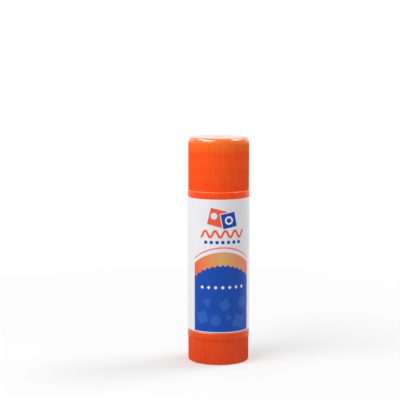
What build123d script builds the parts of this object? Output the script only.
from build123d import *
import math
import os

# A twist-up glue stick, standing on its dial, with +Z up its length. The origin is the centre of its foot.
# All lengths are millimetres.

# Whole stick
body_diameter = 28.0
overrun = 1.0
match = 0.001

# Ribbed grips of the cap and the dial
flute_pitch = 0.8
flute_radius = 0.36
flute_depth = 0.25
grip_ledge = 0.25
ledge_bevel = 0.22
band_height = 3.2

# Dial
dial_height = 14.5
dial_floor = 1.6
dial_edge = 0.8
dial_lip = 0.3
foot_recess = 0.5
foot_width = 3.8
hub_wall = 1.6
web_count = 6
web_thickness = 1.0
web_height = 3.6
web_sink = 0.4
gate_diameter = 3.0
gate_depth = 0.25

# Barrel
dial_gap = 0.2
barrel_height = 60.3
barrel_wall = 2.5
barrel_edge = 0.25
neck_height = 10.0
neck_wall = 1.1
mouth_edge = 0.4
bead_height = 0.12
bead_width = 1.0
bead_slope = 30.0
bead_count = 2
bead_spacing = 3.5
first_bead = 3.0
spigot_length = 7.6
spigot_wall = 1.0
spigot_clearance = 0.2
snap_height = 0.3
snap_width = 1.2
snap_lift = 1.5
inner_floor_thickness = 1.5
inner_floor_drop = 1.2
key_count = 4
key_width = 1.4
key_height = 0.5
key_stop = 4.0

# Label
label_thickness = 0.1
label_glue_line = 0.02
label_top_margin = 0.4
label_bottom_margin = 0.5
label_seam = 0.3

# Spindle
pitch = 4.0
screw_diameter = 7.0
screw_core = 5.2
crest_width = 0.8
root_width = 1.6
thread_sink = 0.4
screw_tip = 1.2
tip_bevel = 0.6
journal_diameter = 6.6
journal_clearance = 0.08
collar_diameter = 12.0
collar_thickness = 1.2
collar_gap = 0.2
root_across_flats = 4.8
root_clearance = 0.05
hub_gap = 0.2

# Carrier
travel = 54.0
carrier_height = 16.0
carrier_wall = 1.1
carrier_floor = 1.4
carrier_clearance = 0.3
carrier_rest_gap = 0.3
cup_depth = 8.0
lip_height = 0.22
lip_width = 0.8
nut_wall = 1.4
nut_clearance = 0.2
nut_margin = 0.3
rib_count = 4
rib_thickness = 1.0
rib_setback = 1.0
key_clearance = 0.2

# Glue
glue_clearance = 0.15
cast_gap = 0.05
glue_headspace = 1.0
glue_dome = 0.7
glue_edge = 0.6
glue_core_clearance = 0.3
glue_core_end = 1.0

# Cap
cap_height = 27.0
cap_top = 1.3
cap_fit = 0.05
cap_step = 0.35
cap_step_gap = 1.0
cap_mouth_bevel = 0.3
crown_taper = 0.9
crown_height = 3.5
crown_edge = 1.6
crown_inner_radius = 2.0
cap_gate_diameter = 2.6
cap_gate_depth = 0.2

# Radii that follow from the sizes above
body_radius = body_diameter / 2
grip_radius = body_radius - grip_ledge
flute_count = round(2 * math.pi * grip_radius / flute_pitch)
bore_radius = body_radius - barrel_wall
neck_radius = bore_radius + neck_wall
bead_radius = neck_radius + bead_height
cap_bore_radius = bead_radius + cap_fit
spigot_radius = bore_radius + spigot_wall
dial_bore_radius = spigot_radius + spigot_clearance
label_outer_radius = body_radius
label_inner_radius = label_outer_radius - label_thickness
recess_radius = label_inner_radius - label_glue_line
journal_radius = journal_diameter / 2
floor_hole_radius = journal_radius + journal_clearance
collar_radius = collar_diameter / 2
crest_radius = screw_diameter / 2
core_radius = screw_core / 2
nut_radius = crest_radius + nut_clearance
nut_outer_radius = nut_radius + nut_wall
root_radius = root_across_flats / math.sqrt(3)
socket_radius = (root_across_flats + 2 * root_clearance) / math.sqrt(3)
hub_radius = socket_radius + hub_wall
carrier_radius = bore_radius - carrier_clearance
cup_radius = carrier_radius - carrier_wall
glue_radius = bore_radius - glue_clearance
glue_foot_radius = cup_radius - cast_gap
glue_core_radius = crest_radius + glue_core_clearance

# Heights that follow from the sizes above
barrel_base = dial_height + dial_gap
shoulder = barrel_base + barrel_height
mouth = shoulder + neck_height
spigot_base = barrel_base - spigot_length
inner_floor_top = barrel_base - inner_floor_drop
inner_floor_base = inner_floor_top - inner_floor_thickness
label_base = barrel_base + label_bottom_margin
label_top = shoulder - label_top_margin
key_top = mouth - key_stop
snap_base = spigot_base + snap_lift
hub_top = inner_floor_base - hub_gap
collar_base = inner_floor_top + collar_gap
collar_top = collar_base + collar_thickness
carrier_base = collar_top + carrier_rest_gap
carrier_top = carrier_base + carrier_height
cup_floor = carrier_top - cup_depth
nut_length = carrier_height - cup_depth - carrier_floor
glue_rim = mouth - glue_headspace
cap_base = shoulder
top = cap_base + cap_height
cap_ceiling = top - cap_top
cap_step_height = mouth + cap_step_gap

# Thread of the screw, and of the nut inside the carrier, which fills the groove but for its clearance
flank = (root_width - crest_width) / (crest_radius - core_radius)
nut_tip_radius = core_radius + nut_clearance
nut_base_radius = nut_radius + thread_sink


def screw_width(radius):
    """Return how wide the screw's ridge is at a radius."""
    return crest_width + flank * (crest_radius - radius)


def nut_width(radius):
    """Return how wide the nut's ridge is at a radius."""
    return pitch - screw_width(radius) - 2 * nut_clearance


nut_rise = nut_length - nut_width(nut_base_radius) - 2 * nut_margin
nut_start = carrier_base + nut_margin + nut_width(nut_base_radius) / 2
thread_base = nut_start - pitch / 2
thread_top = nut_start + nut_rise + travel + pitch / 2
screw_top = thread_top + screw_tip
glue_core_top = screw_top + glue_core_end


def ring_edges(piece, radius, height):
    """Return the round edges of a piece that have this radius and lie at this height."""
    circles = piece.edges().filter_by(GeomType.CIRCLE)
    return circles.filter_by(
        lambda edge: abs(edge.radius - radius) < match and abs(edge.arc_center.Z - height) < match
    )


def helical_ridge(base, rise, inner_radius, outer_radius, width_at):
    """Sweep a ridge that reaches from one radius to another up a helix in the open part."""
    inner_half = width_at(inner_radius) / 2
    outer_half = width_at(outer_radius) / 2
    with BuildLine() as path:
        Helix(pitch, rise, inner_radius, center=(0, 0, base))
    with BuildSketch(Plane.XZ) as tooth:
        with BuildLine():
            Polyline(
                (inner_radius, base - inner_half),
                (outer_radius, base - outer_half),
                (outer_radius, base + outer_half),
                (inner_radius, base + inner_half),
                close=True,
            )
        make_face()
    sweep(tooth.sketch, path=path.line, is_frenet=True)


def cut_flutes(base, height):
    """Cut the upright grooves of a grip into the open part, which leaves its ribs."""
    with BuildSketch(Plane.XY.offset(base)) as flutes:
        with PolarLocations(grip_radius - flute_depth + flute_radius, flute_count):
            Circle(flute_radius)
    extrude(flutes.sketch, amount=height, mode=Mode.SUBTRACT)


# Dial: a closed cup with ribs outside and a hub with a six-sided socket inside
with BuildPart() as dial:
    with BuildSketch(Plane.XZ):
        with BuildLine():
            Polyline(
                (grip_radius, dial_edge),
                (grip_radius, dial_height - band_height),
                (body_radius - ledge_bevel, dial_height - band_height),
                (body_radius, dial_height - band_height + ledge_bevel),
                (body_radius, dial_height),
                (0, dial_height),
                (0, 0),
                (grip_radius - dial_edge, 0),
            )
            TangentArc((grip_radius, dial_edge), (grip_radius - dial_edge, 0), tangent=(0, -1))
        make_face()
    revolve(axis=Axis.Z)
    fillet(ring_edges(dial, body_radius, dial_height), dial_lip)
    cut_flutes(-overrun, dial_height - band_height + overrun)
    with BuildSketch(Plane.XZ):
        with BuildLine():
            Polyline(
                (0, dial_floor),
                (dial_bore_radius, dial_floor),
                (dial_bore_radius, snap_base - spigot_clearance),
                (dial_bore_radius + snap_height, snap_base),
                (dial_bore_radius + snap_height, snap_base + snap_width),
                (dial_bore_radius, snap_base + snap_width + spigot_clearance),
                (dial_bore_radius, dial_height + overrun),
                (0, dial_height + overrun),
                close=True,
            )
        make_face()
    revolve(axis=Axis.Z, mode=Mode.SUBTRACT)
    with BuildSketch():
        Circle(grip_radius - dial_edge - foot_width)
    extrude(amount=foot_recess, mode=Mode.SUBTRACT)
    with BuildSketch(Plane.XY.offset(foot_recess)):
        Circle(gate_diameter / 2)
    extrude(amount=gate_depth, mode=Mode.SUBTRACT)
    with BuildSketch(Plane.XY.offset(dial_floor)):
        Circle(hub_radius)
    extrude(amount=hub_top - dial_floor)
    with BuildSketch(Plane.XY.offset(dial_floor)):
        with PolarLocations((hub_radius + dial_bore_radius) / 2, web_count):
            Rectangle(dial_bore_radius - hub_radius + 2 * web_sink, web_thickness)
        Circle(hub_radius, mode=Mode.SUBTRACT)
    extrude(amount=web_height)
    with BuildSketch(Plane.XY.offset(dial_floor)):
        RegularPolygon(socket_radius, side_count=6)
    extrude(amount=hub_top - dial_floor, mode=Mode.SUBTRACT)
dial.part.label = "dial"

# Barrel: one tube with a neck for the cap, a floor for the screw, a spigot for the dial and keys inside
with BuildPart() as barrel:
    with BuildSketch(Plane.XZ):
        with BuildLine():
            Polyline(
                (bore_radius, spigot_base),
                (spigot_radius, spigot_base),
                (spigot_radius, snap_base),
                (spigot_radius + snap_height, snap_base + spigot_clearance),
                (spigot_radius + snap_height, snap_base + snap_width - spigot_clearance),
                (spigot_radius, snap_base + snap_width),
                (spigot_radius, barrel_base),
                (body_radius, barrel_base),
                (body_radius, label_base),
                (recess_radius, label_base),
                (recess_radius, label_top),
                (body_radius, label_top),
                (body_radius, shoulder),
                (neck_radius, shoulder),
                (neck_radius, mouth),
                (bore_radius, mouth),
                (bore_radius, inner_floor_top),
                (floor_hole_radius, inner_floor_top),
                (floor_hole_radius, inner_floor_base),
                (bore_radius, inner_floor_base),
                close=True,
            )
        make_face()
    revolve(axis=Axis.Z)
    fillet(ring_edges(barrel, body_radius, barrel_base), barrel_edge)
    fillet(ring_edges(barrel, neck_radius, mouth), mouth_edge)
    with BuildSketch(Plane.XY.offset(inner_floor_top)):
        with PolarLocations(bore_radius, key_count):
            Rectangle(2 * key_height, key_width)
        Circle(neck_radius, mode=Mode.INTERSECT)
    extrude(amount=key_top - inner_floor_top)
    with BuildSketch(Plane.XZ):
        for i in range(bead_count):
            with Locations((neck_radius, shoulder + first_bead + i * bead_spacing)):
                Trapezoid(bead_width, bead_height, bead_slope, align=(Align.CENTER, Align.MIN), rotation=-90)
    revolve(axis=Axis.Z)
barrel.part.label = "barrel"

# Label: a film wrapped round the barrel, its two ends almost meeting at the back
with BuildPart() as label:
    with BuildSketch(Plane.XY.offset(label_base)):
        Circle(label_outer_radius)
        Circle(label_inner_radius, mode=Mode.SUBTRACT)
        with Locations((0, label_outer_radius)):
            Rectangle(label_seam, label_outer_radius, mode=Mode.SUBTRACT)
    extrude(amount=label_top - label_base)
label.part.label = "label"

# Spindle: a coarse screw with a collar, a plain journal and a six-sided root
with BuildPart() as spindle:
    with BuildSketch(Plane.XZ):
        with BuildLine():
            Polyline(
                (0, hub_top),
                (journal_radius, hub_top),
                (journal_radius, collar_base),
                (collar_radius, collar_base),
                (collar_radius, collar_top),
                (core_radius, collar_top),
                (core_radius, screw_top - tip_bevel),
                (core_radius - tip_bevel, screw_top),
                (0, screw_top),
                close=True,
            )
        make_face()
    revolve(axis=Axis.Z)
    helical_ridge(thread_base, thread_top - thread_base, core_radius - thread_sink, crest_radius, screw_width)
    with BuildSketch(Plane.XY.offset(dial_floor)):
        RegularPolygon(root_radius, side_count=6)
    extrude(amount=hub_top - dial_floor)
spindle.part.label = "spindle"

# Carrier: a piston with a cup for the glue above and a nut for the screw below
with BuildPart() as carrier:
    with BuildSketch(Plane.XY.offset(carrier_base)):
        Circle(carrier_radius)
    extrude(amount=carrier_height)
    with BuildSketch(Plane.XY.offset(cup_floor)):
        Circle(cup_radius)
    extrude(amount=cup_depth, mode=Mode.SUBTRACT)
    with BuildSketch(Plane.XY.offset(carrier_base)):
        Circle(cup_radius)
        Circle(nut_outer_radius, mode=Mode.SUBTRACT)
    extrude(amount=nut_length, mode=Mode.SUBTRACT)
    with BuildSketch(Plane.XY.offset(carrier_base)):
        Circle(nut_radius)
    extrude(amount=nut_length + carrier_floor, mode=Mode.SUBTRACT)
    for lip_base in (carrier_base, carrier_top - lip_width):
        with BuildSketch(Plane.XY.offset(lip_base)):
            Circle(carrier_radius + lip_height)
            Circle(cup_radius, mode=Mode.SUBTRACT)
        extrude(amount=lip_width)
    with BuildSketch(Plane.XY.offset(carrier_base + rib_setback)):
        with PolarLocations((nut_outer_radius + cup_radius) / 2, rib_count, start_angle=180 / rib_count):
            Rectangle(cup_radius - nut_outer_radius + carrier_wall, rib_thickness)
    extrude(amount=nut_length - rib_setback)
    with BuildSketch(Plane.XY.offset(carrier_base)):
        with PolarLocations(bore_radius, key_count):
            Rectangle(2 * (key_height + key_clearance), key_width + 2 * key_clearance)
    extrude(amount=carrier_height, mode=Mode.SUBTRACT)
    helical_ridge(nut_start, nut_rise, nut_tip_radius, nut_base_radius, nut_width)
carrier.part.label = "carrier"

# Glue: cast into the cup and the barrel, with a blind hole round the screw and a low dome on top
with BuildPart() as glue:
    with BuildSketch(Plane.XZ):
        with BuildLine():
            Polyline(
                (0, glue_rim + glue_dome),
                (0, cup_floor),
                (glue_foot_radius, cup_floor),
                (glue_foot_radius, carrier_top),
                (glue_radius, carrier_top),
                (glue_radius, glue_rim),
            )
            TangentArc((0, glue_rim + glue_dome), (glue_radius, glue_rim), tangent=(1, 0))
        make_face()
    revolve(axis=Axis.Z)
    fillet(ring_edges(glue, glue_radius, glue_rim), glue_edge)
    with BuildSketch(Plane.XY.offset(cup_floor)):
        Circle(glue_core_radius)
    extrude(amount=glue_core_top - cup_floor, mode=Mode.SUBTRACT)
    with BuildSketch(Plane.XY.offset(cup_floor)):
        with PolarLocations(bore_radius, key_count):
            Rectangle(2 * (key_height + key_clearance), key_width + 2 * key_clearance)
    extrude(amount=key_top + key_clearance - cup_floor, mode=Mode.SUBTRACT)
glue.part.label = "glue"

# Cap: a ribbed cup with a smooth band at its mouth and a rounded crown
with BuildPart() as cap:
    with BuildSketch(Plane.XZ):
        with BuildLine():
            Polyline(
                (grip_radius - crown_taper, top),
                (0, top),
                (0, cap_base),
                (body_radius, cap_base),
                (body_radius, cap_base + band_height - ledge_bevel),
                (body_radius - ledge_bevel, cap_base + band_height),
                (grip_radius, cap_base + band_height),
                (grip_radius, top - crown_height),
            )
            TangentArc((grip_radius, top - crown_height), (grip_radius - crown_taper, top), tangent=(0, 1))
        make_face()
    revolve(axis=Axis.Z)
    fillet(ring_edges(cap, grip_radius - crown_taper, top), crown_edge)
    cut_flutes(cap_base + band_height, cap_height - band_height + overrun)
    with BuildSketch(Plane.XZ):
        with BuildLine():
            FilletPolyline(
                (0, cap_base),
                (cap_bore_radius + cap_mouth_bevel, cap_base),
                (cap_bore_radius, cap_base + cap_mouth_bevel),
                (cap_bore_radius, cap_step_height),
                (cap_bore_radius - cap_step, cap_step_height + cap_step),
                (cap_bore_radius - cap_step, cap_ceiling),
                (0, cap_ceiling),
                radius=[0, 0, 0, 0, crown_inner_radius],
            )
            Line((0, cap_ceiling), (0, cap_base))
        make_face()
    revolve(axis=Axis.Z, mode=Mode.SUBTRACT)
    with BuildSketch(Plane.XY.offset(top)):
        Circle(cap_gate_diameter / 2)
    extrude(amount=-cap_gate_depth, mode=Mode.SUBTRACT)
cap.part.label = "cap"

os.makedirs("parts", exist_ok=True)
for piece in (dial, barrel, label, spindle, carrier, glue, cap):
    export_step(piece.part, f"parts/{piece.part.label}.step")
